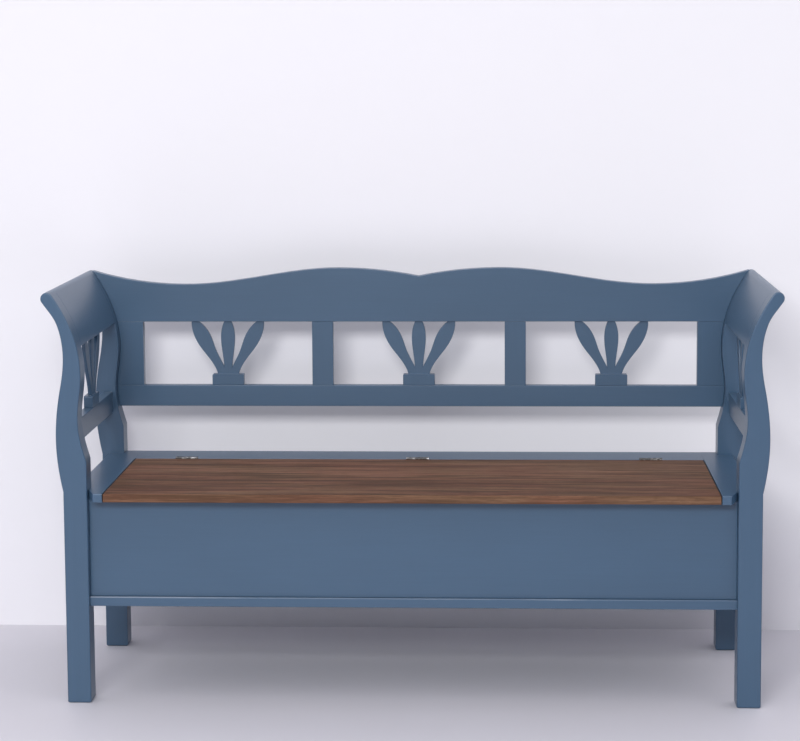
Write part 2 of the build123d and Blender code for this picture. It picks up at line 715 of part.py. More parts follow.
def seat_side_strip():
    """Strip beside the lid, notched round both posts, with its front corner cut."""
    cut_x, cut_y = STRIP_CORNER
    post_side = LEG_INNER_X - FIT
    outline = [
        (STRIP_INNER_X, SEAT_FRONT_Y),
        (post_side - cut_x, SEAT_FRONT_Y),
        (post_side, SEAT_FRONT_Y + cut_y),
        (post_side, FRONT_POST_BACK_Y + FIT),
        (STRIP_OUTER_X, FRONT_POST_BACK_Y + FIT),
        (STRIP_OUTER_X, BACK_POST_FRONT_Y - FIT),
        (post_side, BACK_POST_FRONT_Y - FIT),
        (post_side, STRIP_REAR_Y),
        (STRIP_INNER_X, STRIP_REAR_Y),
    ]
    face = make_face(Polyline(*outline, close=True))
    strip = extrude_along_z(face, SEAT_UNDERSIDE_Z, SEAT_HEIGHT)
    outer = edges_in_plane(strip, 0, STRIP_OUTER_X)
    front = edges_in_plane(strip, 1, SEAT_FRONT_Y)
    top = [
        edge for edge in [*outer, *front] if edge.bounding_box().min.Z > SEAT_HEIGHT - TOUCH
    ]
    return fillet(top, STRIP_EDGE)


def barrel_recess(centre):
    """Round recess along a seat edge that leaves room for one hinge's barrel."""
    radius = KNUCKLE_RADIUS + BARREL_CLEARANCE
    length = HINGE_LENGTH + 2 * BARREL_CLEARANCE
    return Pos(centre, HINGE_Y, HINGE_Z) * Rot(0, 90, 0) * Cylinder(radius, length)


def leaf_recess(centre, way):
    """Shallow housing for one hinge's leaf; way is -1 in the lid and 1 in the back strip."""
    half = HINGE_LENGTH / 2 + FIT
    ends = sorted((HINGE_Y, HINGE_Y + way * (LEAF_PLAY + LEAF_THICKNESS + FIT / 2)))
    return block((centre - half, centre + half), ends, (HINGE_Z - LEAF_HEIGHT - FIT, HINGE_Z))


def hinge_screw_places(way):
    """Places of the leaf screws, heads on the leaf's open face, pointing away from the axis."""
    y = HINGE_Y + way * LEAF_PLAY
    turn = Rot(90, 0, 0) if way > 0 else Rot(-90, 0, 0)
    return [
        Pos(centre + offset, y, HINGE_Z - HINGE_SCREW_DROP) * turn
        for centre in HINGE_CENTRES.values()
        for offset in (-HINGE_SCREW_OFFSET, HINGE_SCREW_OFFSET)
    ]


def cut_hinges(board, way):
    """Seat board with the housings, barrel recesses and pilot holes of the three hinges."""
    for centre in HINGE_CENTRES.values():
        board -= barrel_recess(centre)
        board -= leaf_recess(centre, way)
    return drilled(board, hinge_screw_places(way), HINGE_SCREW_LENGTH)


def seat_back_strip():
    strip = block(
        (-STRIP_INNER_X + FIT, STRIP_INNER_X - FIT),
        (STRIP_FRONT_Y, STRIP_REAR_Y),
        (SEAT_UNDERSIDE_Z, SEAT_HEIGHT),
    )
    rear = strip.edges().filter_by(Axis.X).group_by(Axis.Y)[-1].group_by(Axis.Z)[-1]
    return cut_hinges(fillet(rear, STRIP_EDGE), 1)


def lid_panel():
    panel = block(
        (-LID_LENGTH / 2, LID_LENGTH / 2),
        (SEAT_FRONT_Y, SEAT_FRONT_Y + LID_DEPTH),
        (SEAT_UNDERSIDE_Z + LID_REST_GAP, SEAT_HEIGHT),
    )
    top = panel.faces().sort_by(Axis.Z)[-1].edges()
    front_foot = panel.edges().filter_by(Axis.X).group_by(Axis.Y)[0].group_by(Axis.Z)[0]
    return cut_hinges(fillet([*top, *front_foot], LID_EDGE), -1)


BATTEN_CENTRES = {"left": -BATTEN_SPACING, "centre": 0.0, "right": BATTEN_SPACING}
BATTEN_ENDS = (FRONT_PANEL_BACK_Y + BATTEN_END_GAP, HINGE_Y - BATTEN_END_GAP)
BATTEN_TOP_Z = SEAT_UNDERSIDE_Z + LID_REST_GAP - FIT
BATTEN_FOOT_Z = BATTEN_TOP_Z - BATTEN_THICKNESS


def lid_batten(centre):
    """Batten glued across the underside of the lid."""
    half = BATTEN_WIDTH / 2
    batten = block((centre - half, centre + half), BATTEN_ENDS, (BATTEN_FOOT_Z, BATTEN_TOP_Z))
    lower_edges = batten.faces().sort_by(Axis.Z)[0].edges()
    return chamfer(lower_edges, BATTEN_EDGE)


# ---------------------------------------------------------------- hinges


def knuckle_spans(moving):
    """Stretches of the barrel, along X from its middle, that one leaf's knuckles take."""
    middle = MIDDLE_KNUCKLE / 2
    end = HINGE_LENGTH / 2
    if moving:
        return [(-middle, middle)]
    return [(-end, -middle - KNUCKLE_GAP), (middle + KNUCKLE_GAP, end)]


def hinge_leaf(centre, way):
    """Pressed leaf with its rolled knuckles; way is -1 for the lid's leaf, 1 for the frame's."""
    inner, outer = way * LEAF_PLAY, way * (LEAF_PLAY + LEAF_THICKNESS)
    faces = sorted((HINGE_Y + inner, HINGE_Y + outer))
    clear = HINGE_Z - KNUCKLE_RADIUS - BARREL_CLEARANCE
    half = HINGE_LENGTH / 2
    plate = block((centre - half, centre + half), faces, (HINGE_Z - LEAF_HEIGHT, clear))
    for low, high in knuckle_spans(way < 0):
        span = (centre + low, centre + high)
        plate += block(span, faces, (clear, HINGE_Z))
        barrel = Cylinder(KNUCKLE_RADIUS, high - low)
        plate += Pos(sum(span) / 2, HINGE_Y, HINGE_Z) * Rot(0, 90, 0) * barrel
    bore = Cylinder(PIN_RADIUS + PIN_CLEARANCE, 2 * HINGE_LENGTH)
    plate -= Pos(centre, HINGE_Y, HINGE_Z) * Rot(0, 90, 0) * bore
    return drilled(plate, hinge_screw_places(way), HINGE_SCREW_LENGTH)


def hinge_pin(centre):
    pin = Cylinder(PIN_RADIUS, HINGE_LENGTH)
    pin = chamfer(pin.edges(), PIN_EDGE)
    return Pos(centre, HINGE_Y, HINGE_Z) * Rot(0, 90, 0) * pin


# ---------------------------------------------------------------- the assembly


def both_sides(name, right):
    return {f"{name}_right": right, f"{name}_left": left_of(right)}


def bench():
    """Every piece by the name of its node."""
    pieces = {}
    pieces.update(both_sides("front_post", front_post()))
    pieces.update(both_sides("back_post", back_post()))
    pieces.update(both_sides("arm_top_rail", arm_top_rail()))
    pieces.update(both_sides("arm_lower_rail", arm_lower_rail()))
    pieces.update(both_sides("arm_splat", arm_splat()))
    pieces["crest_rail"] = crest_rail()
    pieces["back_lower_rail"] = back_lower_rail()
    pieces.update(both_sides("back_end_stile", end_stile()))
    pieces["back_middle_stile_left"] = middle_stile(-1)
    pieces["back_middle_stile_right"] = middle_stile(1)
    for side, centre in BACK_SPLAT_CENTRES.items():
        pieces[f"back_splat_{side}"] = back_splat(centre)
    pieces["front_panel"] = front_panel()
    pieces["back_panel"] = back_panel()
    pieces.update(both_sides("side_panel", side_panel()))
    pieces["bottom_board"] = bottom_board()
    pieces["box_cleat_front"] = long_cleat(FRONT_PANEL_BACK_Y + FIT)
    pieces["box_cleat_back"] = long_cleat(BACK_PANEL_Y - FIT - CLEAT)
    pieces.update(both_sides("box_cleat", side_cleat()))
    pieces["hinge_bearer"] = hinge_bearer()
    pieces.update(both_sides("seat_bearer", seat_bearer()))
    pieces.update(both_sides("seat_side_strip", seat_side_strip()))
    pieces["seat_back_strip"] = seat_back_strip()
    pieces["lid_panel"] = lid_panel()
    for side, centre in BATTEN_CENTRES.items():
        pieces[f"lid_batten_{side}"] = lid_batten(centre)
    for side, centre in HINGE_CENTRES.items():
        pieces[f"hinge_frame_leaf_{side}"] = hinge_leaf(centre, 1)
        pieces[f"hinge_lid_leaf_{side}"] = hinge_leaf(centre, -1)
        pieces[f"hinge_pin_{side}"] = hinge_pin(centre)
    pieces["hinge_frame_screws"] = screw_group(hinge_screw_places(1), HINGE_SCREW_LENGTH)
    pieces["hinge_lid_screws"] = screw_group(hinge_screw_places(-1), HINGE_SCREW_LENGTH)
    return pieces


os.makedirs("parts", exist_ok=True)
for name, piece in bench().items():
    export_step(piece, f"parts/{name}.step")
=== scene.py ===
from math import cos, radians, sin

import bmesh
import bpy
from bpy.props import FloatProperty, FloatVectorProperty, PointerProperty
from mathutils import Matrix, Vector


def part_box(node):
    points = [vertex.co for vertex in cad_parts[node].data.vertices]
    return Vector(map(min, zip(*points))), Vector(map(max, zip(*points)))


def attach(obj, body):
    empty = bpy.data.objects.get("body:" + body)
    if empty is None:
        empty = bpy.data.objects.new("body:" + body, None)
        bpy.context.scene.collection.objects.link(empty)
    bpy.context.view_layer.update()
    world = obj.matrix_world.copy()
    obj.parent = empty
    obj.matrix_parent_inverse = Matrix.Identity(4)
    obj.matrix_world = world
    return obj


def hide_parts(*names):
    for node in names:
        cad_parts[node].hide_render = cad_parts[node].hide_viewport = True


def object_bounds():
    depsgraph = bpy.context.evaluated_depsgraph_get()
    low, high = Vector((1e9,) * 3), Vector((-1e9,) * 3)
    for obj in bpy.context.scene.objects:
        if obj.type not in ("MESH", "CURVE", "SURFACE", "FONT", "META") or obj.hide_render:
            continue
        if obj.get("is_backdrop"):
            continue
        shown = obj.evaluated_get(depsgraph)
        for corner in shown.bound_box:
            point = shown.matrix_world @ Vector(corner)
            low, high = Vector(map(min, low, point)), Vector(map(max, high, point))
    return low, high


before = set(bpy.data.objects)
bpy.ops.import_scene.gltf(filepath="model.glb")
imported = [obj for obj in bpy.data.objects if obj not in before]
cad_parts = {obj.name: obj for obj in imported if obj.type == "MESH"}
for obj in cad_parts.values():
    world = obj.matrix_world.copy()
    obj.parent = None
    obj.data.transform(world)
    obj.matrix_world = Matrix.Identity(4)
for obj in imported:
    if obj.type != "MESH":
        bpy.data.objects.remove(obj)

bl_info = {
    "name": "Painted storage bench",
    "version": (1, 0, 0),
    "blender": (4, 5, 0),
    "location": "3D View > Sidebar > Bench",
    "description": "Dresses a storage bench with sleigh arms, tulip splats and a hinged wooden lid",
    "category": "Object",
}

# ---------------------------------------------------------------- sizes, in metres

MM = 0.001
WELD = 0.005 * MM  # corners closer than this are one corner
FLAT_ANGLE = radians(0.05)  # faces that turn by less are one face
SHARP_ANGLE = radians(40)  # edges that turn by more are softened
SHADING_ANGLE = radians(32)  # edges that turn by more stay crisp in the shading
SHORTEST_SOFTENED = 3 * MM  # shorter edges are rims of holes and ends of roundings
SKIN = 0.5 * MM  # how far a mask reaches past the face that it covers


def between(low_node, high_node, axis):
    """Span along an axis from the far face of one node to the near face of the next."""
    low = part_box(low_node)[1][axis] - SKIN
    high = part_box(high_node)[0][axis] + SKIN
    return low, high


BOX_INSIDE = (
    between("side_panel_left", "side_panel_right", 0),
    between("front_panel", "back_panel", 1),
    between("bottom_board", "seat_back_strip", 2),
)
LID_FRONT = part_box("lid_panel")[0].y
BOARD_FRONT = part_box("bottom_board")[0].y
BOARD_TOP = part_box("bottom_board")[1].z

# ---------------------------------------------------------------- pieces by kind

FRAME_BODY = "frame"
LID_BODY = "lid"

SIDES = ("left", "right")
THIRDS = ("left", "centre", "right")


def each(name, places):
    return [f"{name}_{place}" for place in places]


POSTS = each("front_post", SIDES) + each("back_post", SIDES)
ARM_RAILS = each("arm_top_rail", SIDES) + each("arm_lower_rail", SIDES)
BACK_RAILS = ["crest_rail", "back_lower_rail"]
STILES = each("back_end_stile", SIDES) + each("back_middle_stile", SIDES)
SPLATS = each("arm_splat", SIDES) + each("back_splat", THIRDS)
SIDE_STRIPS = each("seat_side_strip", SIDES)
LONG_PANELS = ["front_panel", "back_panel"]
SIDE_PANELS = each("side_panel", SIDES)
BATTENS = each("lid_batten", THIRDS)
LONG_CLEATS = ["box_cleat_front", "box_cleat_back", "hinge_bearer"]
DEEP_CLEATS = each("box_cleat", SIDES) + each("seat_bearer", SIDES)

# ---------------------------------------------------------------- settings


class PaintSettings(bpy.types.PropertyGroup):
    """The satin paint on the bench's frame"""

    colour: FloatVectorProperty(
        name="Colour",
        description="Colour of the paint",
        subtype="COLOR",
        size=3,
        min=0.0,
        max=1.0,
        default=(0.046, 0.095, 0.162),
    )
    roughness: FloatProperty(
        name="Roughness",
        description="How dull the paint film is",
        subtype="FACTOR",
        min=0.0,
        max=1.0,
        default=0.32,
    )
    grain_relief: FloatProperty(
        name="Grain relief",
        description="How far the wood's grain stands out through the paint",
        subtype="DISTANCE",
        default=0.02 * MM,
    )


class TimberSettings(bpy.types.PropertyGroup):
    """The stained lid and the bare wood inside the box"""

    dark: FloatVectorProperty(
        name="Dark grain",
        description="Colour of the stained lid's dark grain",
        subtype="COLOR",
        size=3,
        min=0.0,
        max=1.0,
        default=(0.070, 0.036, 0.022),
    )
    middle: FloatVectorProperty(
        name="Ground",
        description="Main colour of the stained lid",
        subtype="COLOR",
        size=3,
        min=0.0,
        max=1.0,
        default=(0.148, 0.078, 0.048),
    )
    light: FloatVectorProperty(
        name="Light grain",
        description="Colour of the stained lid's light grain",
        subtype="COLOR",
        size=3,
        min=0.0,
        max=1.0,
        default=(0.238, 0.128, 0.082),
    )
    gloss: FloatProperty(
        name="Gloss",
        description="How strongly the stained wood reflects, against a full varnish at 0.5",
        subtype="FACTOR",
        min=0.0,
        max=1.0,
        default=0.08,
    )
    stave_width: FloatProperty(
        name="Stave width",
        description="Width of the boards that the lid is glued up from",
        subtype="DISTANCE",
        default=78 * MM,
    )
    bare: FloatVectorProperty(
        name="Bare wood",
        description="Colour of the wood inside the box",
        subtype="COLOR",
        size=3,
        min=0.0,
        max=1.0,
        default=(0.56, 0.37, 0.20),
    )


class EdgeSettings(bpy.types.PropertyGroup):
    """How far the boards' edges are eased"""

    frame_edge: FloatProperty(
        name="Frame edges",
        description="Softening of the frame's cut edges",
        subtype="DISTANCE",
        default=0.9 * MM,
    )
    splat_edge: FloatProperty(
        name="Splat edges",
        description="Softening of the tulip splats' edges",
        subtype="DISTANCE",
        default=1.0 * MM,
    )
    board_edge: FloatProperty(
        name="Board edges",
        description="Softening of the box's boards and the lid",
        subtype="DISTANCE",
        default=0.7 * MM,
    )


class StageSettings(bpy.types.PropertyGroup):
    """Floor, backdrop and light"""

    floor_colour: FloatVectorProperty(
        name="Floor",
        description="Colour of the floor",
        subtype="COLOR",
        size=3,
        min=0.0,
        max=1.0,
        default=(0.66, 0.645, 0.685),
    )
    wall_colour: FloatVectorProperty(
        name="Backdrop",
        description="Colour of the backdrop",
        subtype="COLOR",
        size=3,
        min=0.0,
        max=1.0,
        default=(0.88, 0.87, 0.905),
    )
    horizon_strength: FloatProperty(
        name="Light from all round",
        description="Strength of the soft light at the horizon",
        min=0.0,
        default=0.06,
    )
    zenith_strength: FloatProperty(
        name="Light from above",
        description="Strength of the soft light overhead",
        min=0.0,
        default=1.2,
    )
    key_power: FloatProperty(
        name="Key lamp",
        description="Power of the wide lamp above and to the left of the camera",
        subtype="POWER",
        min=0.0,
        default=134.0,
    )
    wall_distance: FloatProperty(
        name="Backdrop distance",
        description="Gap between the bench and the backdrop",
        subtype="DISTANCE",
        default=130 * MM,
    )


class BenchSettings(bpy.types.PropertyGroup):
    """All the settings of the bench"""

    paint: PointerProperty(type=PaintSettings, name="Paint", description="The satin paint")
    timber: PointerProperty(type=TimberSettings, name="Timber", description="The lid's wood")
    edges: PointerProperty(type=EdgeSettings, name="Edges", description="Eased edges")
    stage: PointerProperty(type=StageSettings, name="Stage", description="Floor and light")


# ---------------------------------------------------------------- shader nodes


class Link:
    """An output of a finish's nodes; arithmetic on it adds Math nodes."""

    def __init__(self, finish, socket):
        self.finish = finish
        self.socket = socket

    def maths(self, operation, *values):
        return self.finish.node("ShaderNodeMath", {"operation": operation}, dict(enumerate(values)))

    def __add__(self, other):
        return self.maths("ADD", self, other)

    __radd__ = __add__

    def __sub__(self, other):
        return self.maths("SUBTRACT", self, other)

    def __rsub__(self, other):
        return self.maths("SUBTRACT", other, self)

    def __mul__(self, other):
        return self.maths("MULTIPLY", self, other)

    __rmul__ = __mul__

    def __truediv__(self, other):
        return self.maths("DIVIDE", self, other)

    def __gt__(self, other):
        return self.maths("GREATER_THAN", self, other)

    def __lt__(self, other):
        return self.maths("LESS_THAN", self, other)

    def floor(self):
        return self.maths("FLOOR", self)


class Finish:
    """The nodes of a material or of the world, made one call at a time."""

    def __init__(self, owner):
        self.owner = owner
        owner.use_nodes = True
        self.tree = owner.node_tree
        self.tree.nodes.clear()

    def node(self, kind, settings=None, sockets=None, output=0):
        """Adds a node with its settings and the values or links of its sockets."""
        node = self.tree.nodes.new(kind)
        for name, value in (settings or {}).items():
            if name == "stops":
                set_stops(node.color_ramp, value)
            else:
                setattr(node, name, value)
        for name, value in (sockets or {}).items():
            if isinstance(value, Link):
                self.tree.links.new(value.socket, node.inputs[name])
            else:
                node.inputs[name].default_value = value
        return Link(self, node.outputs[output])

    def point(self):
        """The point on the piece, in metres."""
        return self.node("ShaderNodeTexCoord", output="Object")

    def axes(self, vector):
        """The three numbers of a vector."""
        parts = self.node("ShaderNodeSeparateXYZ", None, {0: vector})
        outputs = parts.socket.node.outputs
        return [Link(self, outputs[axis]) for axis in "XYZ"]

    def rays(self, *kinds):
        """For each kind of ray, 1 where the light path is of that kind, and 0 elsewhere."""
        outputs = self.node("ShaderNodeLightPath").socket.node.outputs
        return [Link(self, outputs[f"Is {kind} Ray"]) for kind in kinds]

    def noise(self, scale, detail=2.0, rough=0.5, distortion=0.0, point=None, shift=(0, 0, 0)):
        """Noise over the piece, or over another point, with a scale for each axis."""
        if point is None:
            point = self.point()
        sockets = {"Vector": point, "Scale": scale, "Location": shift}
        stretched_point = self.node("ShaderNodeMapping", {"vector_type": "POINT"}, sockets)
        sockets = {
            "Vector": stretched_point,
            "Scale": 1.0,
            "Detail": detail,
            "Roughness": rough,
            "Distortion": distortion,
        }
        return self.node("ShaderNodeTexNoise", {"noise_dimensions": "3D"}, sockets)

    def ramp(self, value, *stops):
        return self.node("ShaderNodeValToRGB", {"stops": stops}, {0: value})

    def mix(self, factor, first, second, blend="MIX"):
        """A colour between two, or two colours blended."""
        settings = {"data_type": "RGBA", "blend_type": blend}
        return self.node("ShaderNodeMix", settings, {0: factor, 6: first, 7: second}, 2)

    def bump(self, height, depth, normal=None):
        """Relief whose height runs from 0 to 1 over that depth in metres."""
        sockets = {"Height": height, "Distance": depth, "Strength": 1.0}
        if normal is not None:
            sockets["Normal"] = normal
        return self.node("ShaderNodeBump", None, sockets)

    def close(self, shader, kind="ShaderNodeOutputMaterial"):
        out = self.tree.nodes.new(kind)
        self.tree.links.new(shader.socket, out.inputs["Surface"])
        return self.owner


def material_finish(name):
    return Finish(bpy.data.materials.new(name))


def set_stops(ramp, stops):
    while len(ramp.elements) > 1:
        ramp.elements.remove(ramp.elements[-1])
    for index, (position, colour) in enumerate(stops):
        stop = ramp.elements[0] if index == 0 else ramp.elements.new(position)
        stop.position = position
        stop.color = colour


def rgba(colour, share=1.0):
    return (*(share * channel for channel in colour), 1.0)


def grey(level):
    return (level, level, level, 1.0)


# ---------------------------------------------------------------- finishes

ALONG = {"x": 0, "y": 1, "z": 2}

# Patterns: length along the grain and width across it
PAINT_GRAIN = (160 * MM, 3.5 * MM)
PAINT_STIPPLE = (3.5 * MM, 2.2 * MM)
PAINT_SWELL = (350 * MM, 70 * MM)
PAINT_CLOUD = (500 * MM, 160 * MM)
# patches of the painted highlight along the bottom board's edge
HIGHLIGHT_PATCHES = (200 * MM, 1000 * MM)
PINE_RINGS = (600 * MM, 10 * MM)
PINE_FIBRES = (50 * MM, 1.2 * MM)
LID_BANDS = (450 * MM, 24 * MM)
LID_RINGS = (220 * MM, 7 * MM)
LID_FIBRES = (45 * MM, 1.6 * MM)
LID_PORES = (18 * MM, 1.3 * MM)
LID_PATCHES = (240 * MM, 40 * MM)
LID_WANDER = (300 * MM, 120 * MM)
ZINC_REFLECTION_PATCHES = (14 * MM, 6 * MM)
FLOOR_CLOUD = (600 * MM, 600 * MM)
CLOUD_SHIFT = (3.1, 1.7, 5.2)  # keeps the paint's cloud from following its grain

# Relief: depth of each pattern
STIPPLE_DEPTH = 0.010 * MM
SWELL_DEPTH = 0.12 * MM
LID_FIBRE_DEPTH = 0.02 * MM
LID_PORE_DEPTH = 0.03 * MM
PINE_FIBRE_DEPTH = 0.04 * MM

# Painted highlight along the paint's bottom edge, and the lid's paler front face
HIGHLIGHT_COLOUR = (0.42, 0.45, 0.52, 1.0)  # pale colour of the painted highlight along the bottom board's edge
HIGHLIGHT_WIDTH = 2.2 * MM  # of the painted highlight line along the bottom board's upper front edge
HIGHLIGHT_LEAN = 0.30  # how much weaker the painted highlight gets with each metre to the right
FRONT_PALENESS = 0.20  # how much of the light grain's colour the lid's front face takes, so that it is paler than the top

# The lid's glued-up boards
FIRST_JOINT = 0.23  # share of a board's width that the joints are set off by
BOARD_JUMP = (7.0, 0.9)  # how far the grain moves at most between boards, along X and Z
GRAIN_SWAY = 20 * MM  # of the streaks across the grain
BAND_SHARE, RING_SHARE, FIBRE_SHARE = 0.38, 0.40, 0.22  # in the lid's figure
BOARD_SHADE = 0.06  # how much of the figure is the whole board's own tone
PORE_LEVEL = 0.62  # noise above this is a pore
PORE_STRENGTH = 0.40  # how far a pore darkens the stain
OLIVE_TINT = (0.95, 1.00, 0.96, 1.0)
RED_TINT = (1.07, 0.99, 1.00, 1.0)


def stretched(size, along="x"):
    """Scale of a pattern with a length along the grain and a width across it."""
    length, width = size
    scale = [1.0 / width] * 3
    scale[ALONG[along]] = 1.0 / length
    return scale


def pine_colours(finish, along):
    """Colour of planed softwood, and the fibres that its roughness and relief follow."""
    bare = bpy.context.scene.bench.timber.bare
    rings = finish.noise(stretched(PINE_RINGS, along), detail=3.0, distortion=0.8)
    fibres = finish.noise(stretched(PINE_FIBRES, along), rough=0.6)
    colour = finish.ramp(
        rings * 0.75 + fibres * 0.25,
        (0.36, rgba(bare, 0.72)),
        (0.50, rgba(bare)),
        (0.66, rgba(bare, 1.22)),
    )
    return colour, fibres


def inside_box(finish):
    """1 on the faces that look into the closed box, and 0 outside it."""
    inside = 1.0
    for place, (low, high) in zip(finish.axes(finish.point()), BOX_INSIDE):
        inside = (place > low) * (place < high) * inside
    return inside


def painted_edge_highlight(finish):
    """Painted highlight: how much of a pale colour lies along the bottom board's upper front edge,
    in patches.
    """
    x, y, z = finish.axes(finish.point())
    edge = (z > BOARD_TOP - HIGHLIGHT_WIDTH) * (z < BOARD_TOP + SKIN)
    edge = edge * (y < BOARD_FRONT + HIGHLIGHT_WIDTH)
    patches = finish.noise(stretched(HIGHLIGHT_PATCHES), rough=0.6)
    lit_patches = finish.ramp(patches - x * HIGHLIGHT_LEAN, (0.52, grey(0.06)), (0.72, grey(0.34)))
    return edge * lit_patches


def blue_paint(along):
    """Satin paint over planed wood whose grain runs along one axis; the box's inside is bare."""
    paint = bpy.context.scene.bench.paint
    finish = material_finish(f"blue_paint_{along}")
    grain = finish.noise(stretched(PAINT_GRAIN, along), detail=3.0, rough=0.55, distortion=0.4)
    stipple = finish.noise(stretched(PAINT_STIPPLE, along), rough=0.6)
    swell = finish.noise(stretched(PAINT_SWELL, along))
    cloud = finish.noise(
        stretched(PAINT_CLOUD, along), detail=3.0, rough=0.6, shift=CLOUD_SHIFT
    )
    tone = finish.ramp(
        cloud * 0.65 + grain * 0.35,
        (0.30, rgba(paint.colour, 0.94)),
        (0.70, rgba(paint.colour, 1.06)),
    )
    # painted highlight along the bottom board's upper front edge
    if along == "x":
        tone = finish.mix(painted_edge_highlight(finish), tone, HIGHLIGHT_COLOUR)
    film = paint.roughness - 0.05 + 0.10 * stipple
    pine, fibres = pine_colours(finish, along)
    wood = 0.65 + 0.10 * fibres
    inside = inside_box(finish)
    relief = finish.bump(grain, paint.grain_relief)
    relief = finish.bump(stipple, STIPPLE_DEPTH, relief)
    relief = finish.bump(swell, SWELL_DEPTH, relief)
    shader = finish.node(
        "ShaderNodeBsdfPrincipled",
        None,
        {
            "Base Color": finish.mix(inside, tone, pine),
            "Roughness": film + inside * (wood - film),
            "IOR": 1.5,
            "Normal": relief,
        },
    )
    return finish.close(shader)


def stained_timber():
    """Glued-up boards along X, stained brown under a satin varnish."""
    timber = bpy.context.scene.bench.timber
    finish = material_finish("stained_timber")
    x, y, z = finish.axes(finish.point())
    stave = (y / timber.stave_width + FIRST_JOINT).floor()
    luck = finish.node(
        "ShaderNodeTexWhiteNoise", {"noise_dimensions": "1D"}, {"W": stave}, "Value"
    )
    jump_x, jump_z = BOARD_JUMP
    sway = (finish.noise(stretched(LID_WANDER)) - 0.5) * GRAIN_SWAY
    board = finish.node(
        "ShaderNodeCombineXYZ",
        None,
        {"X": x + luck * jump_x, "Y": y + sway, "Z": z + luck * jump_z},
    )
    bands = finish.noise(stretched(LID_BANDS), 3.0, 0.6, 0.8, board)
    rings = finish.noise(stretched(LID_RINGS), 3.0, 0.65, 0.6, board)
    fibres = finish.noise(stretched(LID_FIBRES), rough=0.6, point=board)
    pores = finish.noise(stretched(LID_PORES), detail=1.0, point=board) > PORE_LEVEL
    figure = bands * BAND_SHARE + rings * RING_SHARE + fibres * FIBRE_SHARE
    figure = figure + (luck - 0.5) * BOARD_SHADE
    colour = finish.ramp(
        figure,
        (0.41, rgba(timber.dark)),
        (0.50, rgba(timber.middle)),
        (0.59, rgba(timber.light)),
    )
    colour = finish.mix(pores * PORE_STRENGTH, colour, rgba(timber.dark, 0.75))
    # the lid's front face is made paler than the top
    colour = finish.mix((y < LID_FRONT + SKIN) * FRONT_PALENESS, colour, rgba(timber.light))
    patches = finish.noise(stretched(LID_PATCHES), point=board)
    tints = finish.ramp(patches, (0.40, OLIVE_TINT), (0.60, RED_TINT))
    colour = finish.mix(1.0, colour, tints, "MULTIPLY")
    relief = finish.bump(fibres, LID_FIBRE_DEPTH)
    relief = finish.bump(1 - pores, LID_PORE_DEPTH, relief)
    shader = finish.node(
        "ShaderNodeBsdfPrincipled",
        None,
        {
            "Base Color": colour,
            "Roughness": 0.50 + 0.14 * rings,
            "IOR": 1.5,
            "Specular IOR Level": timber.gloss,
            "Normal": relief,
        },
    )
    return finish.close(shader)


def bare_pine(along):
    """Planed softwood with no finish, its grain along one axis."""
    finish = material_finish(f"bare_pine_{along}")
    colour, fibres = pine_colours(finish, along)
    shader = finish.node(
        "ShaderNodeBsdfPrincipled",
        None,
        {
            "Base Color": colour,
            "Roughness": 0.62 + 0.10 * fibres,
            "Normal": finish.bump(fibres, PINE_FIBRE_DEPTH),
        },
    )
    return finish.close(shader)


def zinc_steel():
    """Zinc plating on pressed steel, its colour patchy dark and bright as a painted reflection of
    dark and bright surroundings.
    """
    finish = material_finish("zinc_steel")
    cloud = finish.noise(stretched(ZINC_REFLECTION_PATCHES), detail=3.0, rough=0.65)
    shader = finish.node(
        "ShaderNodeBsdfPrincipled",
        None,
        {
            # painted reflection: dark and bright patches in the metal's colour stand for dark and
            # bright surroundings
            "Base Color": finish.ramp(cloud, (0.47, grey(0.06)), (0.62, grey(0.36))),
            "Metallic": 1.0,
            "Roughness": 0.66 - 0.30 * cloud,
        },
    )
    return finish.close(shader)


def finish_named(name, make, *values):
    """The finish, made the first time that it is asked for."""
    return bpy.data.materials.get(name) or make(*values)


def paint_along(along):
    return finish_named(f"blue_paint_{along}", blue_paint, along)


def pine_along(along):
    return finish_named(f"bare_pine_{along}", bare_pine, along)


def stain():
    return finish_named("stained_timber", stained_timber)


def zinc():
    return finish_named("zinc_steel", zinc_steel)


# ---------------------------------------------------------------- pieces


def coat_node(node, material):
    """Gives a piece of the frame its finish, as it is."""
    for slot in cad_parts[node].material_slots:
        slot.material = material


def merged_copy(node):
    """A piece of the frame with its loose triangles joined and its flat faces whole."""
    mesh = bmesh.new()
    mesh.from_mesh(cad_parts[node].data)
    bmesh.ops.remove_doubles(mesh, verts=mesh.verts, dist=WELD)
    bmesh.ops.dissolve_limit(
        mesh,
        angle_limit=FLAT_ANGLE,
        use_dissolve_boundaries=False,
        verts=mesh.verts,
        edges=mesh.edges,
    )
    return mesh


def cut_edges(mesh):
    """Sharp edges long enough to be softened."""
    found = []
    for edge in mesh.edges:
        if edge.calc_face_angle() > SHARP_ANGLE and edge.calc_length() > SHORTEST_SOFTENED:
            found.append(edge)
    return found


def add_piece(name, mesh, material, body, node):
    """Makes the mesh an object that stands for the node and moves with the body."""
    for face in mesh.faces:
        face.smooth = True
    data = bpy.data.meshes.new(name)
    mesh.to_mesh(data)
    mesh.free()
    data.set_sharp_from_angle(angle=SHADING_ANGLE)
    data.materials.append(material)
    piece = bpy.data.objects.new(name, data)
    bpy.context.scene.collection.objects.link(piece)
    weighted = piece.modifiers.new("even shading", "WEIGHTED_NORMAL")
    weighted.mode = "FACE_AREA"
    weighted.keep_sharp = True
    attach(piece, body)
    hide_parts(node)


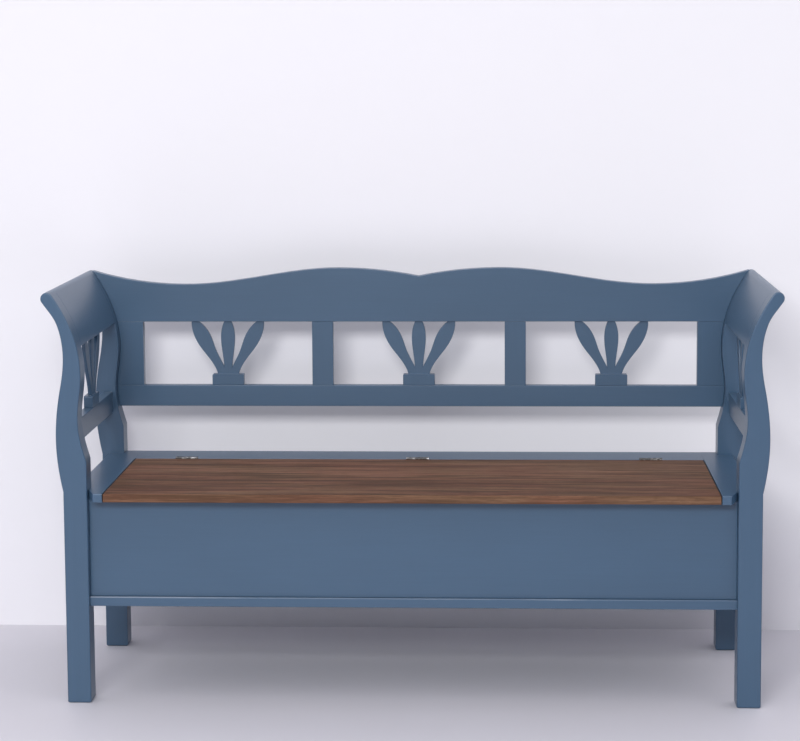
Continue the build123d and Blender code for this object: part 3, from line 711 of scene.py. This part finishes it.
def softened(node, material, edge, body=FRAME_BODY):
    """Stands a copy with eased edges in the place of a node."""
    mesh = merged_copy(node)
    bmesh.ops.bevel(
        mesh,
        geom=cut_edges(mesh),
        offset=edge,
        offset_type="OFFSET",
        segments=2,
        profile=0.5,
        affect="EDGES",
        clamp_overlap=False,
        material=-1,
    )
    add_piece(f"{node}_eased", mesh, material, body, node)


# ---------------------------------------------------------------- operators


class BENCH_OT_posts(bpy.types.Operator):
    """Ease and paint the four posts"""

    bl_idname = "bench.posts"
    bl_label = "Posts"

    def execute(self, context):
        for node in POSTS:
            softened(node, paint_along("z"), context.scene.bench.edges.frame_edge)
        return {"FINISHED"}


class BENCH_OT_back(bpy.types.Operator):
    """Ease and paint the back's rails and stiles"""

    bl_idname = "bench.back"
    bl_label = "Back frame"

    def execute(self, context):
        edge = context.scene.bench.edges.frame_edge
        for node in BACK_RAILS:
            softened(node, paint_along("x"), edge)
        for node in STILES:
            softened(node, paint_along("z"), edge)
        return {"FINISHED"}


class BENCH_OT_arms(bpy.types.Operator):
    """Ease and paint the arms' rails"""

    bl_idname = "bench.arms"
    bl_label = "Arms"

    def execute(self, context):
        for node in ARM_RAILS:
            softened(node, paint_along("y"), context.scene.bench.edges.frame_edge)
        return {"FINISHED"}


class BENCH_OT_splats(bpy.types.Operator):
    """Ease and paint the tulip splats"""

    bl_idname = "bench.splats"
    bl_label = "Tulip splats"

    def execute(self, context):
        for node in SPLATS:
            softened(node, paint_along("z"), context.scene.bench.edges.splat_edge)
        return {"FINISHED"}


class BENCH_OT_box(bpy.types.Operator):
    """Paint the box and finish its cleats and bearers"""

    bl_idname = "bench.box"
    bl_label = "Box"

    def execute(self, context):
        edge = context.scene.bench.edges.board_edge
        for node in LONG_PANELS + ["bottom_board"]:
            softened(node, paint_along("x"), edge)
        for node in SIDE_PANELS:
            softened(node, paint_along("y"), edge)
        for node in LONG_CLEATS:
            softened(node, pine_along("x"), edge)
        for node in DEEP_CLEATS:
            softened(node, pine_along("y"), edge)
        return {"FINISHED"}


class BENCH_OT_seat(bpy.types.Operator):
    """Paint the strips round the lid"""

    bl_idname = "bench.seat"
    bl_label = "Seat strips"

    def execute(self, context):
        edge = context.scene.bench.edges.board_edge
        for node in SIDE_STRIPS:
            softened(node, paint_along("y"), edge)
        softened("seat_back_strip", paint_along("x"), edge)
        return {"FINISHED"}


class BENCH_OT_lid(bpy.types.Operator):
    """Stain the lid and finish its battens"""

    bl_idname = "bench.lid"
    bl_label = "Lid"

    def execute(self, context):
        edge = context.scene.bench.edges.board_edge
        softened("lid_panel", stain(), edge, LID_BODY)
        for node in BATTENS:
            softened(node, pine_along("y"), edge, LID_BODY)
        return {"FINISHED"}


class BENCH_OT_hinges(bpy.types.Operator):
    """Plate the hinges and their screws"""

    bl_idname = "bench.hinges"
    bl_label = "Hinges and screws"

    def execute(self, context):
        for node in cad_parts:
            if node.startswith(("hinge_frame", "hinge_lid", "hinge_pin")):
                coat_node(node, zinc())
        return {"FINISHED"}


# ---------------------------------------------------------------- stage

CAMERA_PLACE = (0.18923, -4.46280, 1.31296)
CAMERA_YAW = 0.04902  # radians to the left
CAMERA_PITCH = -0.10687  # radians upwards
CAMERA_ROLL = -0.00618  # radians
CAMERA_LENS = 95.46  # mm
SENSOR_WIDTH = 36.0  # mm
CAMERA_SHIFT = -0.10  # share of the sensor's width
STAGE_REACH = 14.0  # of the floor and the backdrop, each way from the middle
BACKDROP_HEIGHT = 8.0
SKY_COLOUR = (0.94, 0.93, 1.0, 1.0)
SKY_SHEEN = 2.0  # how much more of the soft light glossy surfaces show
BACKDROP_GLOW = ((0.15, 0.0), (0.45, 0.10))  # heights, and the share that shows as plain white: a painted glow that lifts the backdrop's shade, growing with height
BACKDROP_LEAN = 3.5  # how much that painted glow grows with each metre to the right, lifting the shade that the arm casts there
KEY_PLACE = (-0.65, -4.5, 2.3)
KEY_AIM = (0, 0, 0.5)
KEY_SIZE = (2.0, 0.8)


def camera_turn():
    """Axes of the camera, from its yaw, pitch and roll."""
    yaw, pitch, roll = CAMERA_YAW, CAMERA_PITCH, CAMERA_ROLL
    right = Vector((cos(yaw), sin(yaw), 0))
    level = Vector((-sin(yaw), cos(yaw), 0))
    ahead = level * cos(pitch) + Vector((0, 0, 1)) * sin(pitch)
    above = Vector((0, 0, 1)) * cos(pitch) - level * sin(pitch)
    x_axis = right * cos(roll) + above * sin(roll)
    y_axis = above * cos(roll) - right * sin(roll)
    return Matrix((x_axis, y_axis, -ahead)).transposed()


def add_camera():
    data = bpy.data.cameras.new("camera")
    data.sensor_width = SENSOR_WIDTH
    data.lens = CAMERA_LENS
    data.shift_y = CAMERA_SHIFT
    camera = bpy.data.objects.new("camera", data)
    camera.matrix_world = Matrix.Translation(CAMERA_PLACE) @ camera_turn().to_4x4()
    bpy.context.scene.collection.objects.link(camera)
    bpy.context.scene.camera = camera


def add_lamp(name, place, aim, size, power):
    data = bpy.data.lights.new(name, "AREA")
    data.shape = "RECTANGLE"
    data.size, data.size_y = size
    data.energy = power
    lamp = bpy.data.objects.new(name, data)
    way = Vector(aim) - Vector(place)
    turn = way.to_track_quat("-Z", "Y").to_matrix().to_4x4()
    lamp.matrix_world = Matrix.Translation(place) @ turn
    bpy.context.scene.collection.objects.link(lamp)


def flat_sheet(name, corners, material):
    mesh = bmesh.new()
    mesh.faces.new([mesh.verts.new(corner) for corner in corners])
    data = bpy.data.meshes.new(name)
    mesh.to_mesh(data)
    mesh.free()
    data.materials.append(material)
    sheet = bpy.data.objects.new(name, data)
    bpy.context.scene.collection.objects.link(sheet)
    sheet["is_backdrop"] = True


def floor_finish(colour):
    finish = material_finish("floor")
    cloud = finish.noise(stretched(FLOOR_CLOUD), detail=3.0)
    tone = finish.ramp(cloud, (0.3, rgba(colour, 0.98)), (0.7, rgba(colour, 1.02)))
    sockets = {"Base Color": tone, "Roughness": 0.55}
    return finish.close(finish.node("ShaderNodeBsdfPrincipled", None, sockets))


def wall_finish(colour):
    """Backdrop that shows pale from the front, with a painted glow that lifts its shade, and is
    clear from behind.
    """
    finish = material_finish("backdrop")
    camera, glossy, transmitted = finish.rays("Camera", "Glossy", "Transmission")
    right, _, height = finish.axes(finish.point())
    glow = finish.ramp(height, *((place, grey(share)) for place, share in BACKDROP_GLOW))
    # the painted glow grows to the right, where the arm's shadow lies on the backdrop
    glow = glow * (1 + (right > 0) * right * BACKDROP_LEAN)
    glow = glow * (camera + glossy + transmitted)
    diffuse = finish.node("ShaderNodeBsdfDiffuse", None, {"Color": rgba(colour)})
    white = finish.node("ShaderNodeEmission", None, {"Color": SKY_COLOUR, "Strength": 1.0})
    wall = finish.node("ShaderNodeMixShader", None, {0: glow, 1: diffuse, 2: white})
    clear = finish.node("ShaderNodeBsdfTransparent")
    behind = finish.node("ShaderNodeNewGeometry", None, None, "Backfacing")
    return finish.close(finish.node("ShaderNodeMixShader", None, {0: behind, 1: wall, 2: clear}))


def sky(low, high):
    """Soft light, weak at and below the horizon and strong overhead, that shows as white."""
    finish = Finish(bpy.data.worlds.new("studio"))
    height = finish.axes(finish.node("ShaderNodeTexCoord", output="Generated"))[2]
    camera, glossy = finish.rays("Camera", "Glossy")
    overhead = (high - low) * (height > 0) * height
    strength = low + overhead * (1 + SKY_SHEEN * glossy)
    strength = strength + camera * (1 - strength)
    sockets = {"Color": SKY_COLOUR, "Strength": strength}
    light = finish.node("ShaderNodeBackground", None, sockets)
    return finish.close(light, "ShaderNodeOutputWorld")


class BENCH_OT_stage(bpy.types.Operator):
    """Set up the floor, the backdrop, the light and the camera"""

    bl_idname = "bench.stage"
    bl_label = "Stage"

    def execute(self, context):
        stage = context.scene.bench.stage
        reach = STAGE_REACH
        wall_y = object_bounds()[1].y + stage.wall_distance
        floor = [(-reach, -reach, 0), (reach, -reach, 0), (reach, reach, 0), (-reach, reach, 0)]
        flat_sheet("floor", floor, floor_finish(stage.floor_colour))
        wall = [
            (-reach, wall_y, 0),
            (reach, wall_y, 0),
            (reach, wall_y, BACKDROP_HEIGHT),
            (-reach, wall_y, BACKDROP_HEIGHT),
        ]
        flat_sheet("backdrop", wall, wall_finish(stage.wall_colour))
        context.scene.world = sky(stage.horizon_strength, stage.zenith_strength)
        add_lamp("key", KEY_PLACE, KEY_AIM, KEY_SIZE, stage.key_power)
        add_camera()
        context.scene.view_settings.view_transform = "Standard"
        return {"FINISHED"}


# ---------------------------------------------------------------- panel and registering

PIECE_OPERATORS = (
    BENCH_OT_posts,
    BENCH_OT_back,
    BENCH_OT_arms,
    BENCH_OT_splats,
    BENCH_OT_box,
    BENCH_OT_seat,
    BENCH_OT_lid,
    BENCH_OT_hinges,
    BENCH_OT_stage,
)


class BENCH_PT_panel(bpy.types.Panel):
    """The bench's settings and steps"""

    bl_idname = "BENCH_PT_panel"
    bl_label = "Storage bench"
    bl_space_type = "VIEW_3D"
    bl_region_type = "UI"
    bl_category = "Bench"

    def draw(self, context):
        bench = context.scene.bench
        for group in (bench.paint, bench.timber, bench.edges, bench.stage):
            box = self.layout.box()
            for name in group.__annotations__:
                box.prop(group, name)
        for operator in PIECE_OPERATORS:
            self.layout.operator(operator.bl_idname)


SETTINGS = (PaintSettings, TimberSettings, EdgeSettings, StageSettings, BenchSettings)


def register():
    for item in (*SETTINGS, *PIECE_OPERATORS, BENCH_PT_panel):
        bpy.utils.register_class(item)
    bpy.types.Scene.bench = PointerProperty(type=BenchSettings)


def unregister():
    del bpy.types.Scene.bench
    for item in reversed((*SETTINGS, *PIECE_OPERATORS, BENCH_PT_panel)):
        bpy.utils.unregister_class(item)


def main():
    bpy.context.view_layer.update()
    register()
    for operator in PIECE_OPERATORS:
        group, name = operator.bl_idname.split(".")
        getattr(getattr(bpy.ops, group), name)()


if __name__ == "__main__":
    main()
